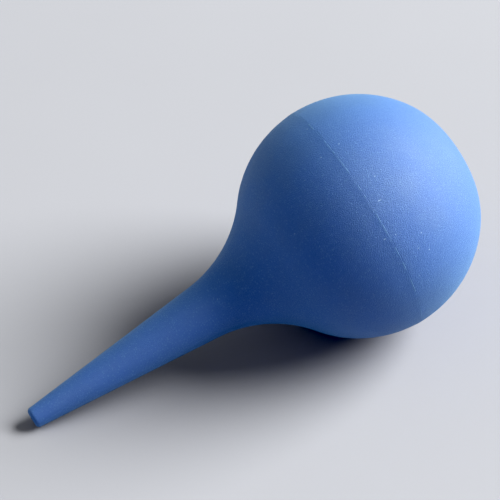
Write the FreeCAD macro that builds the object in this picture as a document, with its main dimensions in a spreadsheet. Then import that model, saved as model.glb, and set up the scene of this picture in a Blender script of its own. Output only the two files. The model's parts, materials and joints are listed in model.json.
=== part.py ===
"""Bulb-type nasal aspirator: two hollow rubber half shells bonded round the equator of the bulb.

Every piece is a body of revolution about the bulb's long axis.  Each one is drawn in a local frame
whose origin is the centre of the bulb, with local X along the axis from the nozzle tip (-X) to the
back of the bulb (+X).  Each body's Placement then leans that axis so that the aspirator lies on a
table at z = 0, touching it with the round of the bulb and with the rim of the nozzle tip.
"""
import FreeCAD, Part
import math
import os

import Sketcher

# Driving dimensions, in millimetres and degrees: (alias, value, meaning).
DIMENSIONS = (
    ("bulb_radius", 26.0, "outer radius of the round bulb"),
    ("bulb_wall", 2.0, "wall of the bulb"),
    ("nozzle_reach", 81.4, "centre of the bulb to the end face of the nozzle"),
    ("tip_flat", 1.7, "outer radius of the nozzle's flat end face, inside its rounded rim"),
    ("tip_round", 0.6, "rounding of the rim that meets the nostril"),
    ("nozzle_half_angle", 5.25, "half angle of the nozzle's outer cone"),
    ("neck_radius", 27.0, "hollow curve between the nozzle and the bulb"),
    ("bore_radius", 1.2, "straight bore at the tip of the nozzle"),
    ("bore_length", 20.0, "end face to the inner end of the straight bore"),
    ("mouth_bevel", 0.15, "bevel round the mouth of the bore"),
    ("channel_half_angle", 6.0, "half angle of the channel that widens behind the bore"),
    ("throat_radius", 24.0, "curve between the channel and the inside of the bulb"),
    ("back_reach", 24.8, "centre of the bulb to the flattened back"),
    ("shoulder_radius", 20.5, "curve between the round bulb and the flattened back"),
    ("seam_ahead", 1.3, "centre of the bulb to the middle of the bond, towards the nozzle"),
    ("land_depth", 3.2, "wall measured across a bonded rim"),
    ("land_reach", 2.4, "middle of the bond to the end of a thickened rim, along the axis"),
    ("land_fade", 4.4, "middle of the bond to where the rim has sloped back to the plain wall"),
    ("rim_bevel", 0.15, "bevel on each rim's outer edge, beside the bond"),
    ("bond_width", 0.4, "thickness of the cured bond between the rims"),
    ("bead_radius", 0.4, "round of the bond's bead, which stands slightly proud of the bulb"),
)

START, END, CENTRE = 1, 2, 3      # the named points of a sketch edge
H_AXIS = -1                       # the sketch's own horizontal axis; its START is the origin
FRONT, REAR = -1, 1               # which side of the bond a half shell lies on


def make_sheet(document):
    """Write the driving dimensions to a spreadsheet, one named cell to a row."""
    sheet = document.addObject("Spreadsheet::Sheet", "Dims")
    for row, (alias, value, meaning) in enumerate(DIMENSIONS, start=1):
        sheet.set(f"A{row}", meaning)
        sheet.set(f"B{row}", str(value))
        sheet.setAlias(f"B{row}", alias)
    document.recompute()
    return sheet


class Profile:
    """A closed outline in a body's XY plane, with its sizes bound to the spreadsheet.

    Edges start where the finished outline runs, and the constraints then hold them there.
    """

    def __init__(self, body, name):
        self.sketch = body.newObject("Sketcher::SketchObject", name)
        plane = next(item for item in body.Origin.OriginFeatures if item.Role == "XY_Plane")
        self.sketch.AttachmentSupport = [(plane, "")]
        self.sketch.MapMode = "FlatFace"

    def line(self, start, end):
        """Add a straight edge between two points and return its number."""
        ends = (FreeCAD.Vector(*start, 0), FreeCAD.Vector(*end, 0))
        return self.sketch.addGeometry(Part.LineSegment(*ends), False)

    def arc(self, centre, start, end):
        """Add an arc that runs anticlockwise between two points and return its number."""
        radius = math.dist(centre, start)
        circle = Part.Circle(FreeCAD.Vector(*centre, 0), FreeCAD.Vector(0, 0, 1), radius)
        angles = [math.atan2(point[1] - centre[1], point[0] - centre[0]) for point in (start, end)]
        return self.sketch.addGeometry(Part.ArcOfCircle(circle, *angles), False)

    def hold(self, *rule):
        """Add a geometric constraint and return its number."""
        return self.sketch.addConstraint(Sketcher.Constraint(*rule))

    def join(self, first, first_point, second, second_point):
        """Make two edges meet at a corner."""
        self.hold("Coincident", first, first_point, second, second_point)

    def smooth(self, first, first_point, second, second_point):
        """Make two edges meet with a common tangent."""
        self.hold("Tangent", first, first_point, second, second_point)

    def centre_on_bulb(self, arc):
        """Put an arc's centre on the centre of the bulb."""
        self.join(arc, CENTRE, H_AXIS, START)

    def size(self, expression, *rule):
        """Add a dimension driven by an expression over the spreadsheet."""
        number = self.hold(*rule)
        self.sketch.setExpression(f"Constraints[{number}]", expression)

    def close_on_axis(self, first, last):
        """Close the outline along the axis, between two edges that both start there."""
        points = [self.sketch.getPoint(edge, START) for edge in (first, last)]
        axis = self.line(*((point.x, point.y) for point in points))
        for edge, axis_end in ((first, START), (last, END)):
            self.join(edge, START, axis, axis_end)
            self.hold("PointOnObject", axis, axis_end, H_AXIS)


def beside_seam(sheet, side, distance):
    """Place along the axis at a distance from the middle of the bond."""
    return side * distance - sheet.seam_ahead


def beside_seam_rule(side, expression):
    """Expression for a place along the axis at a distance from the middle of the bond."""
    sign = "-" if side == FRONT else ""
    return f"{sign}({expression}) - Dims.seam_ahead"


def point_on_bulb(radius, along):
    """Point of a circle about the bulb's centre at a place along the axis."""
    return (along, math.sqrt(radius ** 2 - along ** 2))


def turned(centre, radius, degrees):
    """Point of a circle at an angle from the axis."""
    angle = math.radians(degrees)
    return (centre[0] + radius * math.cos(angle), centre[1] + radius * math.sin(angle))


def scaled(point, factor):
    """Point moved along its ray from the centre of the bulb."""
    return (point[0] * factor, point[1] * factor)


def hollow_curve(bulb_radius, curve_radius, start, half_angle):
    """Centre and two ends of the arc that sweeps from a widening cone into the bulb.

    The cone's line passes through start at half_angle.  The arc's centre lies outside the bulb.
    """
    angle = math.radians(half_angle)
    slope = math.tan(angle)
    lift = start[1] - slope * start[0] + curve_radius / math.cos(angle)
    reach = bulb_radius + curve_radius
    square = 1 + slope ** 2
    root = math.sqrt((slope * lift) ** 2 - square * (lift ** 2 - reach ** 2))
    along = (-slope * lift - root) / square
    centre = (along, lift + slope * along)
    on_cone = turned(centre, curve_radius, half_angle - 90)
    return centre, on_cone, scaled(centre, bulb_radius / reach)


def shoulder_curve(bulb_radius, curve_radius, back):
    """Centre and two ends of the arc that eases the round bulb into its flattened back."""
    along = back - curve_radius
    centre = point_on_bulb(bulb_radius - curve_radius, along)
    on_bulb = scaled(centre, bulb_radius / (bulb_radius - curve_radius))
    return centre, (back, centre[1]), on_bulb


def draw_rim(profile, sheet, side, bulb):
    """Outside edge of a bonded rim: a bevel that leaves the bulb's arc, and the rim's flat face."""
    face_x = beside_seam(sheet, side, sheet.bond_width / 2)
    top = sheet.bulb_radius - sheet.rim_bevel
    bevel = profile.line(bevel_start(sheet, side), (face_x, top))
    rim_face = profile.line((face_x, 0), (face_x, top))
    profile.join(bulb, START if side == FRONT else END, bevel, START)
    profile.join(bevel, END, rim_face, END)
    profile.hold("Vertical", rim_face)
    profile.size(beside_seam_rule(side, "Dims.bond_width / 2"),
                 "DistanceX", rim_face, START, face_x)
    profile.size("Dims.bulb_radius - Dims.rim_bevel", "DistanceY", rim_face, END, top)
    profile.size(beside_seam_rule(side, "Dims.bond_width / 2 + Dims.rim_bevel"),
                 "DistanceX", bevel, START, bevel_start(sheet, side)[0])
    return rim_face


def bevel_start(sheet, side):
    """Point where a rim's bevel leaves the bulb's round outside."""
    along = beside_seam(sheet, side, sheet.bond_width / 2 + sheet.rim_bevel)
    return point_on_bulb(sheet.bulb_radius, along)


def front_outline(body, sheet):
    """Outside of the nozzle, neck and front half of the bulb."""
    profile = Profile(body, "FrontOutline")
    reach = -sheet.nozzle_reach
    tip_centre = (reach + sheet.tip_round, sheet.tip_flat)
    on_rim = turned(tip_centre, sheet.tip_round, 90 + sheet.nozzle_half_angle)
    centre, on_cone, on_bulb = hollow_curve(
        sheet.bulb_radius, sheet.neck_radius, on_rim, sheet.nozzle_half_angle)

    end_face = profile.line((reach, 0), (reach, sheet.tip_flat))
    tip = profile.arc(tip_centre, on_rim, (reach, sheet.tip_flat))
    cone = profile.line(on_rim, on_cone)
    neck = profile.arc(centre, on_cone, on_bulb)
    bulb = profile.arc((0, 0), bevel_start(sheet, FRONT), on_bulb)
    rim_face = draw_rim(profile, sheet, FRONT, bulb)

    profile.smooth(end_face, END, tip, END)
    profile.smooth(tip, START, cone, START)
    profile.smooth(cone, END, neck, START)
    profile.smooth(neck, END, bulb, END)
    profile.centre_on_bulb(bulb)
    profile.close_on_axis(end_face, rim_face)
    profile.hold("Vertical", end_face)
    profile.size("-Dims.nozzle_reach", "DistanceX", end_face, START, reach)
    profile.size("Dims.tip_flat", "DistanceY", end_face, END, sheet.tip_flat)
    profile.size("Dims.tip_round", "Radius", tip, sheet.tip_round)
    profile.size("Dims.nozzle_half_angle", "Angle", cone, math.radians(sheet.nozzle_half_angle))
    profile.size("Dims.neck_radius", "Radius", neck, sheet.neck_radius)
    profile.size("Dims.bulb_radius", "Radius", bulb, sheet.bulb_radius)
    return profile.sketch


def rear_outline(body, sheet):
    """Outside of the rear half of the bulb, with its slightly flattened back."""
    profile = Profile(body, "RearOutline")
    centre, on_back, on_bulb = shoulder_curve(
        sheet.bulb_radius, sheet.shoulder_radius, sheet.back_reach)

    bulb = profile.arc((0, 0), on_bulb, bevel_start(sheet, REAR))
    rim_face = draw_rim(profile, sheet, REAR, bulb)
    shoulder = profile.arc(centre, on_back, on_bulb)
    back = profile.line((sheet.back_reach, 0), on_back)

    profile.smooth(bulb, START, shoulder, END)
    profile.smooth(shoulder, START, back, END)
    profile.centre_on_bulb(bulb)
    profile.close_on_axis(rim_face, back)
    profile.hold("Vertical", back)
    profile.size("Dims.bulb_radius", "Radius", bulb, sheet.bulb_radius)
    profile.size("Dims.shoulder_radius", "Radius", shoulder, sheet.shoulder_radius)
    profile.size("Dims.back_reach", "DistanceX", back, START, sheet.back_reach)
    return profile.sketch


def draw_land(profile, sheet, side):
    """Inside of a thickened rim, from the bond's face to where its slope meets the bulb's wall."""
    face_x = beside_seam(sheet, side, sheet.bond_width / 2)
    land_x = beside_seam(sheet, side, sheet.land_reach)
    fade_x = beside_seam(sheet, side, sheet.land_fade)
    inner = sheet.bulb_radius - sheet.land_depth
    meet = point_on_bulb(sheet.bulb_radius - sheet.bulb_wall, fade_x)

    face = profile.line((face_x, 0), (face_x, inner))
    land = profile.line((face_x, inner), (land_x, inner))
    slope = profile.line((land_x, inner), meet)
    profile.join(face, END, land, START)
    profile.join(land, END, slope, START)
    profile.hold("Vertical", face)
    profile.hold("Horizontal", land)
    profile.size(beside_seam_rule(side, "Dims.bond_width / 2"), "DistanceX", face, START, face_x)
    profile.size("Dims.bulb_radius - Dims.land_depth", "DistanceY", land, START, inner)
    profile.size(beside_seam_rule(side, "Dims.land_reach"), "DistanceX", land, END, land_x)
    profile.size(beside_seam_rule(side, "Dims.land_fade"), "DistanceX", slope, END, fade_x)
    return face, slope, meet


def front_cavity(body, sheet):
    """Bore, widening channel and front half of the bulb's chamber."""
    profile = Profile(body, "FrontCavity")
    reach = -sheet.nozzle_reach
    chamber = sheet.bulb_radius - sheet.bulb_wall
    bore_end = (reach + sheet.bore_length, sheet.bore_radius)
    centre, on_cone, on_bulb = hollow_curve(
        chamber, sheet.throat_radius, bore_end, sheet.channel_half_angle)

    face, slope, meet = draw_land(profile, sheet, FRONT)
    wall = profile.arc((0, 0), meet, on_bulb)
    throat = profile.arc(centre, on_cone, on_bulb)
    channel = profile.line(bore_end, on_cone)
    bore = profile.line(bore_end, (reach + sheet.mouth_bevel, sheet.bore_radius))
    bevel = profile.line((reach + sheet.mouth_bevel, sheet.bore_radius),
                         (reach, sheet.bore_radius + sheet.mouth_bevel))
    mouth = profile.line((reach, 0), (reach, sheet.bore_radius + sheet.mouth_bevel))

    profile.join(slope, END, wall, START)
    profile.smooth(wall, END, throat, END)
    profile.smooth(throat, START, channel, END)
    profile.join(channel, START, bore, START)
    profile.join(bore, END, bevel, START)
    profile.join(bevel, END, mouth, END)
    profile.centre_on_bulb(wall)
    profile.close_on_axis(face, mouth)
    profile.hold("Horizontal", bore)
    profile.hold("Vertical", mouth)
    profile.size("Dims.bulb_radius - Dims.bulb_wall", "Radius", wall, chamber)
    profile.size("Dims.throat_radius", "Radius", throat, sheet.throat_radius)
    profile.size("Dims.bore_radius", "DistanceY", bore, END, sheet.bore_radius)
    profile.size("-Dims.nozzle_reach", "DistanceX", mouth, START, reach)
    profile.size("Dims.mouth_bevel - Dims.nozzle_reach",
                 "DistanceX", bore, END, reach + sheet.mouth_bevel)
    profile.size("Dims.bore_radius + Dims.mouth_bevel",
                 "DistanceY", mouth, END, sheet.bore_radius + sheet.mouth_bevel)
    profile.size("Dims.bore_length - Dims.nozzle_reach", "DistanceX", bore, START, bore_end[0])
    profile.size("Dims.channel_half_angle", "Angle", channel, math.radians(sheet.channel_half_angle))
    return profile.sketch


def rear_cavity(body, sheet):
    """Rear half of the bulb's chamber, one wall thickness inside the outline."""
    profile = Profile(body, "RearCavity")
    chamber = sheet.bulb_radius - sheet.bulb_wall
    back_inside = sheet.back_reach - sheet.bulb_wall
    shoulder_inside = sheet.shoulder_radius - sheet.bulb_wall
    centre, on_back, on_bulb = shoulder_curve(chamber, shoulder_inside, back_inside)

    face, slope, meet = draw_land(profile, sheet, REAR)
    wall = profile.arc((0, 0), on_bulb, meet)
    shoulder = profile.arc(centre, on_back, on_bulb)
    back = profile.line((back_inside, 0), on_back)

    profile.join(slope, END, wall, END)
    profile.smooth(wall, START, shoulder, END)
    profile.smooth(shoulder, START, back, END)
    profile.centre_on_bulb(wall)
    profile.close_on_axis(face, back)
    profile.hold("Vertical", back)
    profile.size("Dims.bulb_radius - Dims.bulb_wall", "Radius", wall, chamber)
    profile.size("Dims.shoulder_radius - Dims.bulb_wall", "Radius", shoulder, shoulder_inside)
    profile.size("Dims.back_reach - Dims.bulb_wall", "DistanceX", back, START, back_inside)
    return profile.sketch


def bond_outline(body, sheet):
    """Section of the bond: a flat ring between the rims, with a rounded bead outside."""
    profile = Profile(body, "BondOutline")
    half = sheet.bond_width / 2
    front_x, rear_x = (beside_seam(sheet, side, half) for side in (FRONT, REAR))
    inner = sheet.bulb_radius - sheet.land_depth
    middle, edge = point_on_bulb(sheet.bulb_radius, -sheet.seam_ahead)
    centre = (middle, edge - point_on_bulb(sheet.bead_radius, half)[1])

    inside = profile.line((front_x, inner), (rear_x, inner))
    rear_side = profile.line((rear_x, inner), (rear_x, edge))
    bead = profile.arc(centre, (rear_x, edge), (front_x, edge))
    front_side = profile.line((front_x, edge), (front_x, inner))

    profile.join(inside, END, rear_side, START)
    profile.join(rear_side, END, bead, START)
    profile.join(bead, END, front_side, START)
    profile.join(front_side, END, inside, START)
    profile.hold("Horizontal", inside)
    profile.hold("Vertical", rear_side)
    profile.hold("Vertical", front_side)
    profile.size("-Dims.seam_ahead", "DistanceX", bead, CENTRE, middle)
    for side, end, place in ((FRONT, START, front_x), (REAR, END, rear_x)):
        rule = beside_seam_rule(side, "Dims.bond_width / 2")
        profile.size(rule, "DistanceX", inside, end, place)
    profile.size("Dims.bulb_radius - Dims.land_depth", "DistanceY", inside, START, inner)
    profile.size("sqrt(Dims.bulb_radius ^ 2 - Dims.seam_ahead ^ 2)",
                 "DistanceY", bead, START, edge)
    profile.size("Dims.bead_radius", "Radius", bead, sheet.bead_radius)
    return profile.sketch


def revolve(body, sketch, kind, name):
    """Turn a sketch a full circle about the axis, to add material or to cut it away."""
    feature = body.newObject(f"PartDesign::{kind}", name)
    feature.Profile = sketch
    feature.ReferenceAxis = (sketch, ["H_Axis"])
    feature.Angle = 360


def make_front_shell(document, sheet):
    """Nozzle, neck and front half of the bulb, moulded in one piece and hollow throughout."""
    body = document.addObject("PartDesign::Body", "FrontShell")
    body.Label = "front_shell"
    revolve(body, front_outline(body, sheet), "Revolution", "FrontForm")
    revolve(body, front_cavity(body, sheet), "Groove", "FrontHollow")
    return body


def make_rear_shell(document, sheet):
    """Rear half of the bulb: the part that a thumb presses."""
    body = document.addObject("PartDesign::Body", "RearShell")
    body.Label = "rear_shell"
    revolve(body, rear_outline(body, sheet), "Revolution", "RearForm")
    revolve(body, rear_cavity(body, sheet), "Groove", "RearHollow")
    return body


def make_seam_bond(document, sheet):
    """Ring of cured rubber cement that holds the rims together and stands proud as a bead."""
    body = document.addObject("PartDesign::Body", "SeamBond")
    body.Label = "seam_bond"
    revolve(body, bond_outline(body, sheet), "Revolution", "BondRing")
    return body


def resting_placement(sheet):
    """Placement that lays the aspirator on its bulb and tip rim, with its box centred on x = 0."""
    # The tip's rounded rim is an arc whose centre lies tip_along ahead of the bulb's centre and
    # tip_flat off the axis.  The lean lets this arc and the bulb touch the table together.
    tip_along = sheet.nozzle_reach - sheet.tip_round
    drop = math.asin((sheet.bulb_radius - sheet.tip_round) / math.hypot(tip_along, sheet.tip_flat))
    lean = drop - math.atan2(sheet.tip_flat, tip_along)

    shoulder_along = sheet.back_reach - sheet.shoulder_radius
    shoulder_out = point_on_bulb(sheet.bulb_radius - sheet.shoulder_radius, shoulder_along)[1]
    behind = shoulder_along * math.cos(lean) + shoulder_out * math.sin(lean) + sheet.shoulder_radius
    ahead = tip_along * math.cos(lean) + sheet.tip_flat * math.sin(lean) + sheet.tip_round
    bulb_centre = FreeCAD.Vector((ahead - behind) / 2, 0, sheet.bulb_radius)
    return FreeCAD.Placement(bulb_centre, FreeCAD.Rotation(FreeCAD.Vector(0, 1, 0), -math.degrees(lean)))


def check(document, bodies):
    """Stop if any object failed, or if a body is not one valid hollow solid."""
    for item in document.Objects:
        if {"Invalid", "Error"} & set(item.State):
            raise RuntimeError(f"{item.Label} failed: {item.State}")
    for body in bodies:
        shape = body.Shape
        if shape.isNull() or not shape.isValid() or len(shape.Solids) != 1:
            raise RuntimeError(f"{body.Label} is not one valid solid")
        grooves = [feature for feature in body.Group if feature.TypeId == "PartDesign::Groove"]
        for groove in grooves:
            if groove.Shape.Volume >= groove.BaseFeature.Shape.Volume:
                raise RuntimeError(f"{groove.Label} cut nothing")


def main():
    """Build the three pieces, lay them down together and write one STEP file for each."""
    document = FreeCAD.newDocument("NasalAspirator")
    sheet = make_sheet(document)
    makers = (make_front_shell, make_rear_shell, make_seam_bond)
    bodies = [make(document, sheet) for make in makers]
    for body in bodies:
        body.Placement = resting_placement(sheet)
    document.recompute()
    check(document, bodies)
    os.makedirs("parts", exist_ok=True)
    for body in bodies:
        body.Shape.exportStep(f"parts/{body.Label}.step")


main()
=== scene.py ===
"""Looks of a bulb-type nasal aspirator: soft blue rubber on a pale table.

The rubber is one closed wall on each side of the seam, turned about the bulb's long axis, with the
seam's bead between them.  Sections are drawn in millimetres in the plane of the axis: the first
number runs along the axis from the nozzle tip (negative) to the back of the bulb (positive), and
the second is the distance from the axis.
"""
import json
import math
from collections import namedtuple

import bmesh
import bpy
import numpy as np
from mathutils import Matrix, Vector, noise


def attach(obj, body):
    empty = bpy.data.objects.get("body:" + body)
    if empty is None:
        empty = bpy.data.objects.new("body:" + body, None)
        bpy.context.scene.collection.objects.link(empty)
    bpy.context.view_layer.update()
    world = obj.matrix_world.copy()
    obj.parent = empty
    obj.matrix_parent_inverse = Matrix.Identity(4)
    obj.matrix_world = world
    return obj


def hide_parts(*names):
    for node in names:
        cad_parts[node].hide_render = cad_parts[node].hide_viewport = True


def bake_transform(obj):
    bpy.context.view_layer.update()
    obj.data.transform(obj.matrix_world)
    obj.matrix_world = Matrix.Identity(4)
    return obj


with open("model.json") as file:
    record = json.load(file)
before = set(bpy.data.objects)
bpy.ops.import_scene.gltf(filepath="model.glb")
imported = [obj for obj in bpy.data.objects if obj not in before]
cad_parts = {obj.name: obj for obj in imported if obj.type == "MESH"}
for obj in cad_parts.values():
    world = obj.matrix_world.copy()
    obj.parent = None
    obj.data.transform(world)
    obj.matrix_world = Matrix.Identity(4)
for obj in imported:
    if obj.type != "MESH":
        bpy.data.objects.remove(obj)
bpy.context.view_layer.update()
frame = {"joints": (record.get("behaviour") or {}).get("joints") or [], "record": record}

MM = 0.001

# The frame: where the bulb is, which way it points and how far it reaches.
SQUEEZE = frame["joints"][0]
MOUNTS = {mount["name"]: mount for mount in frame["record"]["mounts"]}
AXIS = -Vector(SQUEEZE["axis"])
ACROSS = Vector((0, 1, 0))
SEAM_AHEAD = 1.3                     # from the bulb's centre to the seam, towards the nozzle
SEAM_PLACE = Vector(SQUEEZE["deforming_nodes"][0]["fixed_end_pos_m"])
CENTRE = SEAM_PLACE + AXIS * SEAM_AHEAD * MM
MOUTH_INSET = 1.0                    # the bore's mount lies this far inside the mouth
BULB_RADIUS = CENTRE.z / MM          # the bulb touches the table
NOZZLE_REACH = (CENTRE - Vector(MOUNTS["nozzle_bore"]["pos_m"])).length / MM + MOUTH_INSET
BACK_REACH = (Vector(MOUNTS["rear_rest"]["pos_m"]) - CENTRE).length / MM
BORE_RADIUS = MOUNTS["nozzle_bore"]["dims"]["r_mm"]
BORE_LENGTH = 20.0
SEAM_RADIUS = math.sqrt(BULB_RADIUS ** 2 - SEAM_AHEAD ** 2)

# The rubber wall, in millimetres and degrees.
WALL = 2.0
TIP_FLAT = 1.45                      # radius where the tip's flat end meets its rounded rim
TIP_ROUND = 0.85
MOUTH_BEVEL = 0.15
NOZZLE_HALF_ANGLE = 5.25
NECK_RADIUS = 27.0
CHANNEL_HALF_ANGLE = 6.0
THROAT_RADIUS = 24.0
SHOULDER_RADIUS = 20.5               # the ease from the round bulb into its flattened back
LAND_DEPTH = 3.2                     # the bonded rims are this thick
LAND_REACH = 2.4                     # and stay so this far from the seam,
LAND_FADE = 4.4                      # then thin to the plain wall by here

# The seam: a low ridge where the halves meet, with a fine bead of cement along its crest.
BOND_HALF = 0.14                     # half the thickness of the bond
RIM_EASE = 0.02                      # the rims' outer edges are eased by this much
RIDGE_HEIGHT = 0.058
FRONT_RIDGE_REACH = 2.4
REAR_RIDGE_REACH = 5.0
BEAD_HEIGHT = 0.025                  # where the bead stands proudest; elsewhere it is flush
BEAD_PATCH = 4.5                     # the bead rises and sinks over about this length
BEAD_NICK = 0.9                      # and is nicked over about this one
BEAD_HEAVY_SIDE = math.radians(165)  # turn about the axis where the bead is most often proud
BEAD_BIAS = 0.05                     # the bead's share is this, plus the swings below
BEAD_SIDE_SWING = 0.45
BEAD_PATCH_SWING = 2.2
BEAD_NICK_SWING = 2.2
CROWN_FALL = 0.96                    # how far the rounded crown comes down at its edges
CROWN_STEPS = 6

# Unevenness left by the mould and by the soft wall, in millimetres.
UNEVEN_HEIGHT = 0.02
UNEVEN_LENGTH = 13.0

# How finely the sections are cut, in millimetres, and the turn about the axis.
FINE = 0.12
CLOSE = 0.35
PLAIN = 0.7
HIDDEN = 1.6                         # the inside of the bulb
FINE_END = 1.6                       # distance from the seam where the fine spacing ends
CLOSE_END = 5.0                      # and where the close one does
TURN_STEPS = 288
BEAD_TURN_STEPS = 720
WELD_DISTANCE = 1e-4 * MM
SHARP_ANGLE = math.radians(40)

# The rubber and its cement: colours are linear red, green and blue.
RUBBER_BLUE = (0.003, 0.030, 0.276)
CEMENT_PALENESS = 0.6                # share of bloom on the bead where it stands proudest
BLOOM_BASE = 0.8                     # the bloom keeps this much of the rubber's own colour
BLOOM_LIGHT = (0.07, 0.12, 0.15)     # and adds this to it
BLOOM = tuple(BLOOM_BASE * value + light
              for value, light in zip(RUBBER_BLUE, BLOOM_LIGHT)) + (1,)
SPECULAR = 1.0
ROUGHNESS = 0.67
DIFFUSE_ROUGHNESS = 0.01
SHEEN = 0.21
SHEEN_ROUGHNESS = 0.95
SHEEN_TINT = (0.53, 0.92, 1.0)

# Fine detail of the skin: lengths, depths and radii are in millimetres.
GRAIN_LENGTH = 0.2
GRAIN_DEPTH = 0.12
GRAIN_DETAIL = 3.0
GRAIN_ROUGHNESS = 0.65
GRAIN_SPAN = (0.5, 0.75)             # the part of the grain that carries bloom
GRAIN_BLOOM = 0.36
PORE_LENGTH = 0.6
PORE_DEPTH = 0.02
MOTTLE_LENGTH = 9.0
MOTTLE_DETAIL = 3.0
MOTTLE_SPAN = (0.3, 0.7)
MOTTLE_TONE = 0.04
MOTTLE_ROUGH = 0.03
WORN_LENGTH = 2.5
WORN_BLOOM = 0.1
SEAM_DUST_REACH = 6.0

# Specks: one at most in each cell of a pattern with the given spacing.  by_seam and elsewhere are
# the shares of the cells that hold one, and strength is how strongly it covers the rubber.
Specks = namedtuple("Specks", "spacing radius by_seam elsewhere strength")
BLOOM_SPECKS = Specks(spacing=0.5, radius=0.2, by_seam=0.45, elsewhere=0.45, strength=0.35)
DUST = Specks(spacing=2.4, radius=0.17, by_seam=0.6, elsewhere=0.16, strength=0.45)
LINT = Specks(spacing=5.0, radius=0.6, by_seam=0.22, elsewhere=0.01, strength=0.5)
FLECKS = Specks(spacing=11.0, radius=0.3, by_seam=0.12, elsewhere=0.12, strength=0.6)
SPECK_CORE = 0.4                     # share of a speck's radius that is fully coloured
DUST_COLOUR = (0.5, 0.6, 0.78, 1)
FLECK_TONE = 0.3                     # how dark a fleck is against the rubber
LINT_TURN = (0.6, 0.3, 0.9)          # how lint lies: turns about the three axes, in radians
LINT_SLIM = 5.0                      # lint is this many times longer than it is wide

# The table, in metres.
TABLE_RADIUS = 5.0
TABLE_STEPS = 96
TABLE_GREY = (0.348, 0.314, 0.371)
TABLE_TONE = 0.02
TABLE_CLOUD_LENGTH = 0.05
TABLE_CLOUD_DETAIL = 3.0
TABLE_TOOTH_LENGTH = 0.0006
TABLE_TOOTH_SPAN = (0.3, 0.7)
TABLE_ROUGHNESS = (0.6, 0.7)
TABLE_SPECULAR = 0.25
# Painted shade: the table's grey is darkened on the side away from the key, in place of light
# falloff.
TABLE_PAINTED_SHADE_TONE = 0.5
TABLE_PAINTED_DIMMING = 0.2                  # share of the painted shade on the side away from the key
TABLE_FALLOFF = 0.15                 # the painted shade fades over this far either side of the middle

# The view: degrees, metres, and the lens in millimetres.
CAMERA_AZIMUTH = -28.19
CAMERA_ELEVATION = 42.51
CAMERA_DISTANCE = 0.55
CAMERA_NEAR = 0.01
CAMERA_LENS = 186.0
BULB_OFF_CENTRE = (0.02308, 0.00718)  # right of and above the picture's centre

# Light and display: angles are in degrees.
KEY_AZIMUTH = -12.7
KEY_ELEVATION = 35.0
KEY_STRENGTH = 9.46
KEY_ANGLE = 42.6
KEY_COLOUR = (1.0, 1.12, 1.0)
FILL_COLOUR = (0.93, 1.05, 0.96)
FILL_STRENGTH = 0.6
FILL_LEAN = -0.9                     # below zero: the fill comes from the side away from the key
BACKDROP = (0.676, 0.68, 0.725)      # as pale as the far table
VIEW_GAMMA = 0.89
BLACK_LEVEL = 0.047


# ---------------------------------------------------------------- sections

def spread(start, end, length, step):
    """Evenly spaced shares from start up to, not including, end."""
    count = max(1, math.ceil(abs(length) / step))
    return [start + (end - start) * index / count for index in range(count)]


def line(start, end, step):
    """Points of a straight run, without its last point."""
    shares = spread(0, 1, math.dist(start, end), step)
    return [(start[0] + (end[0] - start[0]) * share, start[1] + (end[1] - start[1]) * share)
            for share in shares]


def arc(centre, start, end, step):
    """Points of the short arc about a centre from one point to another, without its last point."""
    radius = math.dist(centre, start)
    first = math.atan2(start[1] - centre[1], start[0] - centre[0])
    last = math.atan2(end[1] - centre[1], end[0] - centre[0])
    turn = (last - first + math.pi) % (2 * math.pi) - math.pi
    angles = spread(first, first + turn, turn * radius, step)
    return [(centre[0] + radius * math.cos(angle), centre[1] + radius * math.sin(angle))
            for angle in angles]


def on_bulb(radius, along):
    """Point of a circle about the bulb's centre at a place along the axis."""
    return (along, math.sqrt(radius ** 2 - along ** 2))


def turned(centre, radius, degrees):
    """Point of a circle at an angle from the axis."""
    angle = math.radians(degrees)
    return (centre[0] + radius * math.cos(angle), centre[1] + radius * math.sin(angle))


def hollow_curve(bulb_radius, curve_radius, start, half_angle):
    """Centre and ends of the arc that sweeps from a cone through start into the bulb."""
    angle = math.radians(half_angle)
    slope = math.tan(angle)
    lift = start[1] - slope * start[0] + curve_radius / math.cos(angle)
    reach = bulb_radius + curve_radius
    square = 1 + slope ** 2
    root = math.sqrt((slope * lift) ** 2 - square * (lift ** 2 - reach ** 2))
    along = (-slope * lift - root) / square
    centre = (along, lift + slope * along)
    cone_end = turned(centre, curve_radius, half_angle - 90)
    share = bulb_radius / reach
    return centre, cone_end, (centre[0] * share, centre[1] * share)


def shoulder_curve(bulb_radius, curve_radius, back):
    """Centre and ends of the arc that eases the round bulb into its flattened back."""
    centre = on_bulb(bulb_radius - curve_radius, back - curve_radius)
    share = bulb_radius / (bulb_radius - curve_radius)
    return centre, (back, centre[1]), (centre[0] * share, centre[1] * share)


def seam_side(side, far_end):
    """Outside of the bulb from the seam to a far point, cut finely near the seam."""
    stops = [on_bulb(BULB_RADIUS, side * distance - SEAM_AHEAD)
             for distance in (BOND_HALF + RIM_EASE, FINE_END, CLOSE_END)]
    stops.append(far_end)
    points = []
    for start, end, step in zip(stops, stops[1:], (FINE, CLOSE, PLAIN)):
        points += arc((0, 0), start, end, step)
    return points


def ridge(from_seam):
    """Height of the low ridge at a place along the axis measured from the seam."""
    reach = REAR_RIDGE_REACH if from_seam > 0 else FRONT_RIDGE_REACH
    return RIDGE_HEIGHT * max(0.0, 1 - abs(from_seam) / reach) ** 2


def rim(side):
    """Inside of a bonded rim: the slope up to the land, the land and the face beside the bond."""
    inner = BULB_RADIUS - LAND_DEPTH
    face, land, fade = (side * distance - SEAM_AHEAD
                        for distance in (BOND_HALF, LAND_REACH, LAND_FADE))
    meet = on_bulb(BULB_RADIUS - WALL, fade)
    top = (face, SEAM_RADIUS + ridge(side * BOND_HALF) - RIM_EASE)
    points = line(meet, (land, inner), HIDDEN)
    points += line((land, inner), (face, inner), HIDDEN)
    points += line((face, inner), top, HIDDEN)
    return meet, points + [top]


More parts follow.
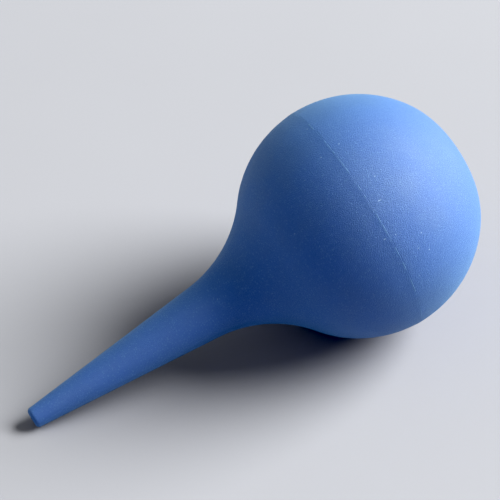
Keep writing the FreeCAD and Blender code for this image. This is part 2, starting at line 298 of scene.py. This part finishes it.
def front_section():
    """Outside and inside of the nozzle, neck and front half of the bulb, as one closed loop."""
    tip_centre = (TIP_ROUND - NOZZLE_REACH, TIP_FLAT)
    rim_start = turned(tip_centre, TIP_ROUND, 90 + NOZZLE_HALF_ANGLE)
    neck, neck_cone, neck_bulb = hollow_curve(
        BULB_RADIUS, NECK_RADIUS, rim_start, NOZZLE_HALF_ANGLE)
    flat_start = (-NOZZLE_REACH, TIP_FLAT)
    mouth_outer = (-NOZZLE_REACH, BORE_RADIUS + MOUTH_BEVEL)
    mouth_inner = (MOUTH_BEVEL - NOZZLE_REACH, BORE_RADIUS)

    outside = seam_side(-1, neck_bulb)
    outside += arc(neck, neck_bulb, neck_cone, PLAIN)
    outside += line(neck_cone, rim_start, PLAIN)
    outside += arc(tip_centre, rim_start, flat_start, FINE)
    outside += line(flat_start, mouth_outer, FINE)
    outside += arc((MOUTH_BEVEL - NOZZLE_REACH, BORE_RADIUS + MOUTH_BEVEL),
                   mouth_outer, mouth_inner, FINE / 2)

    bore_end = (BORE_LENGTH - NOZZLE_REACH, BORE_RADIUS)
    throat, throat_cone, throat_bulb = hollow_curve(
        BULB_RADIUS - WALL, THROAT_RADIUS, bore_end, CHANNEL_HALF_ANGLE)
    meet, rim_points = rim(-1)
    inside = line(mouth_inner, bore_end, HIDDEN)
    inside += line(bore_end, throat_cone, HIDDEN)
    inside += arc(throat, throat_cone, throat_bulb, HIDDEN)
    inside += arc((0, 0), throat_bulb, meet, HIDDEN)
    return outside, inside + rim_points


def rear_section():
    """Outside and inside of the rear half of the bulb; both reach the axis at the back."""
    chamber = BULB_RADIUS - WALL
    back_inside = BACK_REACH - WALL
    outer, outer_back, outer_bulb = shoulder_curve(BULB_RADIUS, SHOULDER_RADIUS, BACK_REACH)
    inner, inner_back, inner_bulb = shoulder_curve(chamber, SHOULDER_RADIUS - WALL, back_inside)

    outside = seam_side(1, outer_bulb)
    outside += arc(outer, outer_bulb, outer_back, PLAIN)
    outside += line(outer_back, (BACK_REACH, 0), PLAIN) + [(BACK_REACH, 0)]
    meet, rim_points = rim(1)
    inside = line((back_inside, 0), inner_back, HIDDEN)
    inside += arc(inner, inner_back, inner_bulb, HIDDEN)
    inside += arc((0, 0), inner_bulb, meet, HIDDEN)
    return outside, inside + rim_points


# ---------------------------------------------------------------- meshes

def outward(section, closed):
    """Unit normals of a section's points, pointing away from the rubber whichever way it runs."""
    points = np.array(section)
    ahead = np.roll(points, -1, axis=0)
    behind = np.roll(points, 1, axis=0)
    twice_area = np.sum(points[:, 0] * ahead[:, 1] - ahead[:, 0] * points[:, 1])
    if not closed:
        ahead[-1] = points[-1]
        behind[0] = points[0]
    along = ahead - behind
    normals = np.sign(twice_area) * np.column_stack((along[:, 1], -along[:, 0]))
    return normals / np.linalg.norm(normals, axis=1, keepdims=True)


def unevenness(place):
    """Slow rise and fall of the moulded skin at a place in millimetres."""
    return UNEVEN_HEIGHT * noise.noise(Vector(place) / UNEVEN_LENGTH)


def turn_section(section, steps):
    """Places in millimetres of a section at each step of a full turn, as steps by points by 3."""
    points = np.array(section)
    angles = np.arange(steps) * (2 * math.pi / steps)
    places = np.empty((steps, len(points), 3))
    places[..., 0] = points[:, 0]
    places[..., 1] = np.outer(np.cos(angles), points[:, 1])
    places[..., 2] = np.outer(np.sin(angles), points[:, 1])
    return places


def to_frame(places):
    """Turn places about the bulb's axis, in millimetres, into points of the frame in metres."""
    upward = AXIS.cross(ACROSS)
    basis = np.array([AXIS, ACROSS, upward])
    return np.array(CENTRE) + MM * places.reshape(-1, 3) @ basis


def skin(name, places, closed, paleness=None):
    """Mesh object through the turned places.  An open section starts and ends on the axis."""
    steps, count, _ = places.shape
    last = count if closed else count - 1
    faces = []
    for step in range(steps):
        here = step * count
        there = ((step + 1) % steps) * count
        for index in range(last):
            following = (index + 1) % count
            faces.append((here + index, here + following, there + following, there + index))
    mesh = bpy.data.meshes.new(name)
    mesh.from_pydata(to_frame(places).tolist(), [], faces)
    keep_rest_places(mesh, places.reshape(-1, 3))
    if paleness is not None:
        attribute = mesh.attributes.new("paleness", "FLOAT", "POINT")
        attribute.data.foreach_set("value", paleness.astype(np.float32).ravel())
    weld(mesh)
    piece = bpy.data.objects.new(name, mesh)
    bpy.context.scene.collection.objects.link(piece)
    return piece


def keep_rest_places(mesh, places):
    """Store each point's place about the axis, so that the material stays with the rubber."""
    attribute = mesh.attributes.new("rest_place", "FLOAT_VECTOR", "POINT")
    attribute.data.foreach_set("vector", places.astype(np.float32).ravel())


def weld(mesh):
    """Join the points that meet on the axis, turn every face outwards and shade smoothly."""
    work = bmesh.new()
    work.from_mesh(mesh)
    bmesh.ops.remove_doubles(work, verts=work.verts, dist=WELD_DISTANCE)
    bmesh.ops.recalc_face_normals(work, faces=work.faces)
    work.to_mesh(mesh)
    work.free()
    mesh.shade_smooth()
    mesh.set_sharp_from_angle(angle=SHARP_ANGLE)


def rubber_wall(name, sections, closed):
    """One half of the rubber, with the ridge and the mould's unevenness on its outside."""
    outside, inside = sections
    section = inside + outside
    places = turn_section(section, TURN_STEPS)
    normals = outward(section, closed)
    for index, (along, _) in enumerate(outside, start=len(inside)):
        lift = ridge(along + SEAM_AHEAD)
        for step in range(TURN_STEPS):
            place = places[step, index]
            height = lift + unevenness(place)
            angle = 2 * math.pi * step / TURN_STEPS
            across, out = normals[index]
            place += height * np.array((across, out * math.cos(angle), out * math.sin(angle)))
    return skin(name, places, closed)


# ---------------------------------------------------------------- seam bead

def bead_share(angle):
    """How far the bead stands up, from 0 to 1: long rises and gaps with fine nicks."""
    place = Vector((0, math.cos(angle), math.sin(angle))) * BULB_RADIUS
    share = BEAD_BIAS + BEAD_SIDE_SWING * math.cos(angle - BEAD_HEAVY_SIDE)
    share += BEAD_PATCH_SWING * noise.noise(place / BEAD_PATCH)
    share += BEAD_NICK_SWING * noise.noise(place / BEAD_NICK)
    return min(1.0, max(0.0, share))


def seam_bead(name):
    """Ring of cement between the rims, with a rounded bead of uneven height on its outside."""
    inner = BULB_RADIUS - LAND_DEPTH
    shares = np.linspace(-1, 1, CROWN_STEPS + 1)
    section = [(BOND_HALF - SEAM_AHEAD, inner), (-BOND_HALF - SEAM_AHEAD, inner)]
    section += [(BOND_HALF * share - SEAM_AHEAD, SEAM_RADIUS) for share in shares]
    places = turn_section(section, BEAD_TURN_STEPS)
    paleness = np.zeros(places.shape[:2])
    for step in range(BEAD_TURN_STEPS):
        angle = 2 * math.pi * step / BEAD_TURN_STEPS
        wander = unevenness(places[step, -1])
        standing = bead_share(angle)
        height = RIM_EASE + BEAD_HEIGHT * standing
        for index, share in enumerate(shares, start=2):
            radius = SEAM_RADIUS + ridge(share * BOND_HALF) - RIM_EASE + wander
            radius += height * math.sqrt(1 - CROWN_FALL * share ** 2)
            places[step, index, 1:] = (radius * math.cos(angle), radius * math.sin(angle))
            paleness[step, index] = standing
    return skin(name, places, True, paleness)


# ---------------------------------------------------------------- materials

class Nodes:
    """Short way to write a material's node tree."""

    def __init__(self, name):
        self.material = bpy.data.materials.new(name)
        self.material.use_nodes = True
        self.tree = self.material.node_tree
        self.surface = self.tree.nodes["Principled BSDF"]

    def add(self, kind, inputs=None, **settings):
        """Add a node, set its properties, then set or link its inputs."""
        node = self.tree.nodes.new(kind)
        for key, value in settings.items():
            setattr(node, key, value)
        for key, value in (inputs or {}).items():
            self.put(node, key, value)
        return node

    def put(self, node, key, value):
        """Link an input to another node's output, or give it a plain value."""
        if isinstance(value, bpy.types.NodeSocket):
            self.tree.links.new(value, node.inputs[key])
        else:
            node.inputs[key].default_value = value

    def place(self):
        """Place about the bulb's axis in millimetres."""
        return self.add("ShaderNodeAttribute", attribute_name="rest_place").outputs["Vector"]

    def noise(self, vector, length, detail=2.0, roughness=0.5):
        """Soft noise whose features have about the given length."""
        node = self.add("ShaderNodeTexNoise", {"Vector": vector, "Scale": 1 / length,
                                               "Detail": detail, "Roughness": roughness})
        return node.outputs["Fac"]

    def span(self, value, low, high, to_low=0.0, to_high=1.0):
        """Map a range of values onto another, clamped and eased."""
        node = self.add("ShaderNodeMapRange",
                        {"Value": value, "From Min": low, "From Max": high,
                         "To Min": to_low, "To Max": to_high}, interpolation_type="SMOOTHSTEP")
        return node.outputs["Result"]

    def maths(self, operation, first, second):
        """One arithmetic step."""
        return self.add("ShaderNodeMath", {0: first, 1: second}, operation=operation).outputs[0]

    def mix(self, share, first, second):
        """Blend of two colours."""
        node = self.add("ShaderNodeMix", data_type="RGBA")
        self.put(node, 0, share)
        self.put(node, 6, first)
        self.put(node, 7, second)
        return node.outputs[2]

    def bump(self, height, distance, normal=None):
        """Fine relief of a height in metres."""
        inputs = {"Height": height, "Distance": distance}
        if normal is not None:
            inputs["Normal"] = normal
        return self.add("ShaderNodeBump", inputs).outputs["Normal"]


def tinted(colour, factor):
    """A colour made lighter or darker, with full opacity."""
    return tuple(min(1.0, factor * value) for value in colour) + (1,)


def speckled(nodes, vector, seam, kind, colour, speck_colour):
    """Scatter specks on a colour: a share of the cells of a Voronoi pattern hold one each."""
    cell = nodes.add("ShaderNodeTexVoronoi", {"Vector": vector, "Scale": 1 / kind.spacing})
    size = kind.radius / kind.spacing
    dot = nodes.span(cell.outputs["Distance"], SPECK_CORE * size, size, 1, 0)
    chance = nodes.add("ShaderNodeSeparateColor", {0: cell.outputs["Color"]}).outputs[0]
    held = nodes.maths("LESS_THAN", chance, nodes.span(seam, 0, 1, kind.elsewhere, kind.by_seam))
    share = nodes.maths("MULTIPLY", nodes.maths("MULTIPLY", dot, held), kind.strength)
    return nodes.mix(share, colour, speck_colour)


def beside_seam(nodes, place):
    """1 on the seam, falling to 0 where the seam's dust ends."""
    along = nodes.add("ShaderNodeSeparateXYZ", {0: place}).outputs["X"]
    from_seam = nodes.maths("ABSOLUTE", nodes.maths("ADD", along, SEAM_AHEAD), 0)
    return nodes.span(from_seam, 0, SEAM_DUST_REACH, 1, 0)


def worn_tip(nodes, place):
    """1 on the rounded rim of the nozzle tip, falling to 0 a little way up the cone."""
    along = nodes.add("ShaderNodeSeparateXYZ", {0: place}).outputs["X"]
    return nodes.span(along, -NOZZLE_REACH, WORN_LENGTH - NOZZLE_REACH, 1, 0)


def marks(nodes, place, seam, colour):
    """A few dark flecks in the rubber, and dust and lint that gather by the seam."""
    stretch = nodes.add("ShaderNodeMapping", {"Vector": place, "Rotation": LINT_TURN,
                                              "Scale": (1, LINT_SLIM, LINT_SLIM)})
    colour = speckled(nodes, place, seam, FLECKS, colour, tinted(RUBBER_BLUE, FLECK_TONE))
    colour = speckled(nodes, place, seam, DUST, colour, DUST_COLOUR)
    return speckled(nodes, stretch.outputs[0], seam, LINT, colour, DUST_COLOUR)


def rubber_colour(nodes, place, grain, mottle):
    """The rubber's blue under a pale bloom, with its mottle, marks and worn tip."""
    seam = beside_seam(nodes, place)
    colour = nodes.mix(nodes.span(mottle, *MOTTLE_SPAN),
                       tinted(RUBBER_BLUE, 1 - MOTTLE_TONE), tinted(RUBBER_BLUE, 1 + MOTTLE_TONE))
    colour = nodes.mix(nodes.span(grain, *GRAIN_SPAN, 0, GRAIN_BLOOM), colour, BLOOM)
    colour = speckled(nodes, place, seam, BLOOM_SPECKS, colour, BLOOM)
    worn = nodes.maths("MULTIPLY", worn_tip(nodes, place), WORN_BLOOM)
    return marks(nodes, place, seam, nodes.mix(worn, colour, BLOOM))


def rubber_material(name, paler=None):
    """Matte moulded rubber with fine grain, or the same made paler where an attribute says so."""
    nodes = Nodes(name)
    place = nodes.place()
    grain = nodes.noise(place, GRAIN_LENGTH, detail=GRAIN_DETAIL, roughness=GRAIN_ROUGHNESS)
    pores = nodes.noise(place, PORE_LENGTH)
    mottle = nodes.noise(place, MOTTLE_LENGTH, detail=MOTTLE_DETAIL)

    colour = rubber_colour(nodes, place, grain, mottle)
    if paler:
        pale = nodes.add("ShaderNodeAttribute", attribute_name=paler).outputs["Fac"]
        colour = nodes.mix(nodes.maths("MULTIPLY", pale, CEMENT_PALENESS), colour, BLOOM)
    nodes.put(nodes.surface, "Base Color", colour)

    roughness = nodes.span(mottle, *MOTTLE_SPAN, ROUGHNESS - MOTTLE_ROUGH, ROUGHNESS + MOTTLE_ROUGH)
    nodes.put(nodes.surface, "Roughness", roughness)
    nodes.put(nodes.surface, "Specular IOR Level", SPECULAR)
    nodes.put(nodes.surface, "Diffuse Roughness", DIFFUSE_ROUGHNESS)
    nodes.put(nodes.surface, "Sheen Weight", SHEEN)
    nodes.put(nodes.surface, "Sheen Roughness", SHEEN_ROUGHNESS)
    nodes.put(nodes.surface, "Sheen Tint", SHEEN_TINT + (1,))
    porous = nodes.bump(pores, PORE_DEPTH * MM)
    nodes.put(nodes.surface, "Normal", nodes.bump(grain, GRAIN_DEPTH * MM, porous))
    return nodes.material


# ---------------------------------------------------------------- stage

def direction(azimuth, elevation):
    """Unit vector at an angle from +X in the table's plane and an angle above it, in degrees."""
    around, above = math.radians(azimuth), math.radians(elevation)
    return Vector((math.cos(around) * math.cos(above),
                   math.sin(around) * math.cos(above), math.sin(above)))


def floor_material():
    """Pale table top, barely mottled, with painted shade darkening the side away from the key."""
    nodes = Nodes("table_top")
    place = nodes.add("ShaderNodeNewGeometry").outputs["Position"]
    cloud = nodes.noise(place, TABLE_CLOUD_LENGTH, detail=TABLE_CLOUD_DETAIL)
    tooth = nodes.noise(place, TABLE_TOOTH_LENGTH)
    colour = nodes.mix(cloud,
                       tinted(TABLE_GREY, 1 - TABLE_TONE), tinted(TABLE_GREY, 1 + TABLE_TONE))
    # painted shade: a darker copy of the grey, mixed in on the side away from the key light
    shade = tinted(TABLE_GREY, TABLE_PAINTED_SHADE_TONE)
    toward_key = nodes.add("ShaderNodeVectorMath", {0: place, 1: direction(KEY_AZIMUTH, 0)},
                           operation="DOT_PRODUCT").outputs["Value"]
    painted_dimming = nodes.span(toward_key, -TABLE_FALLOFF, TABLE_FALLOFF, TABLE_PAINTED_DIMMING, 0)
    nodes.put(nodes.surface, "Base Color", nodes.mix(painted_dimming, colour, shade))
    nodes.put(nodes.surface, "Roughness", nodes.span(tooth, *TABLE_TOOTH_SPAN, *TABLE_ROUGHNESS))
    nodes.put(nodes.surface, "Specular IOR Level", TABLE_SPECULAR)
    return nodes.material


def make_floor():
    """A wide round table top at the height the aspirator rests on."""
    edge = [TABLE_RADIUS * direction(360 * step / TABLE_STEPS, 0) for step in range(TABLE_STEPS)]
    mesh = bpy.data.meshes.new("table")
    mesh.from_pydata(edge, [], [tuple(range(TABLE_STEPS))])
    floor = bpy.data.objects.new("table", mesh)
    bpy.context.scene.collection.objects.link(floor)
    mesh.materials.append(floor_material())


def make_world():
    """Dim fill, mostly from the side away from the key, and a plain backdrop behind the table."""
    world = bpy.data.worlds.new("studio")
    world.use_nodes = True
    tree = world.node_tree
    tree.nodes.clear()
    fill = tree.nodes.new("ShaderNodeBackground")
    fill.inputs["Color"].default_value = FILL_COLOUR + (1,)
    ray = tree.nodes.new("ShaderNodeTexCoord")
    toward_key = tree.nodes.new("ShaderNodeVectorMath")
    toward_key.operation = "DOT_PRODUCT"
    toward_key.inputs[1].default_value = direction(KEY_AZIMUTH, KEY_ELEVATION)
    strength = tree.nodes.new("ShaderNodeMath")
    strength.operation = "MULTIPLY_ADD"
    strength.inputs[1].default_value = FILL_LEAN * FILL_STRENGTH
    strength.inputs[2].default_value = FILL_STRENGTH
    tree.links.new(ray.outputs["Generated"], toward_key.inputs[0])
    tree.links.new(toward_key.outputs["Value"], strength.inputs[0])
    tree.links.new(strength.outputs[0], fill.inputs["Strength"])
    backdrop = tree.nodes.new("ShaderNodeBackground")
    backdrop.inputs["Color"].default_value = BACKDROP + (1,)
    rays = tree.nodes.new("ShaderNodeLightPath")
    mix = tree.nodes.new("ShaderNodeMixShader")
    output = tree.nodes.new("ShaderNodeOutputWorld")
    tree.links.new(rays.outputs["Is Camera Ray"], mix.inputs[0])
    tree.links.new(fill.outputs[0], mix.inputs[1])
    tree.links.new(backdrop.outputs[0], mix.inputs[2])
    tree.links.new(mix.outputs[0], output.inputs["Surface"])
    bpy.context.scene.world = world


def make_key_light():
    """A broad soft key from the right of the picture, a little beyond the bulb."""
    light = bpy.data.lights.new("key", "SUN")
    light.energy = KEY_STRENGTH
    light.color = KEY_COLOUR
    light.angle = math.radians(KEY_ANGLE)
    lamp = bpy.data.objects.new("key", light)
    lamp.rotation_mode = "QUATERNION"
    lamp.rotation_quaternion = direction(KEY_AZIMUTH, KEY_ELEVATION).to_track_quat("Z", "Y")
    bpy.context.scene.collection.objects.link(lamp)


def make_camera():
    """Camera at the viewing angle, with the bulb right of and above the picture's centre."""
    azimuth, elevation = math.radians(CAMERA_AZIMUTH), math.radians(CAMERA_ELEVATION)
    right = Vector((math.cos(azimuth), math.sin(azimuth), 0))
    back = Vector((math.sin(azimuth) * math.cos(elevation),
                   -math.cos(azimuth) * math.cos(elevation), math.sin(elevation)))
    up = back.cross(right)
    data = bpy.data.cameras.new("camera")
    data.lens = CAMERA_LENS
    data.clip_start = CAMERA_NEAR
    camera = bpy.data.objects.new("camera", data)
    camera.rotation_mode = "QUATERNION"
    camera.rotation_quaternion = back.to_track_quat("Z", "Y")
    camera.location = (CENTRE + CAMERA_DISTANCE * back
                       - BULB_OFF_CENTRE[0] * right - BULB_OFF_CENTRE[1] * up)
    bpy.context.scene.collection.objects.link(camera)
    bpy.context.scene.camera = camera


def set_display():
    """Plain display curve with a firm black point, as a studio picture is finished."""
    settings = bpy.context.scene.view_settings
    settings.view_transform = "Standard"
    settings.gamma = VIEW_GAMMA
    settings.use_curve_mapping = True
    settings.curve_mapping.black_level = (BLACK_LEVEL,) * 3
    settings.curve_mapping.update()


# ---------------------------------------------------------------- the object


def make_object():
    """Both rubber walls and the bead between them; the front wall and the bead share the front
    body.
    """
    rubber = rubber_material("bulb_rubber")
    cement = rubber_material("bond_cement", paler="paleness")

    front = rubber_wall("nozzle_and_bulb_front", front_section(), True)
    front.data.materials.append(rubber)
    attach(front, "front")
    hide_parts("front_shell")

    bead = seam_bead("seam_bead")
    bead.data.materials.append(cement)
    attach(bead, "front")
    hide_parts("seam_bond")

    rear = rubber_wall("bulb_rear", rear_section(), False)
    rear.data.materials.append(rubber)
    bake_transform(rear)
    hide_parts("rear_shell")


make_object()
make_floor()
make_world()
make_key_light()
make_camera()
set_display()
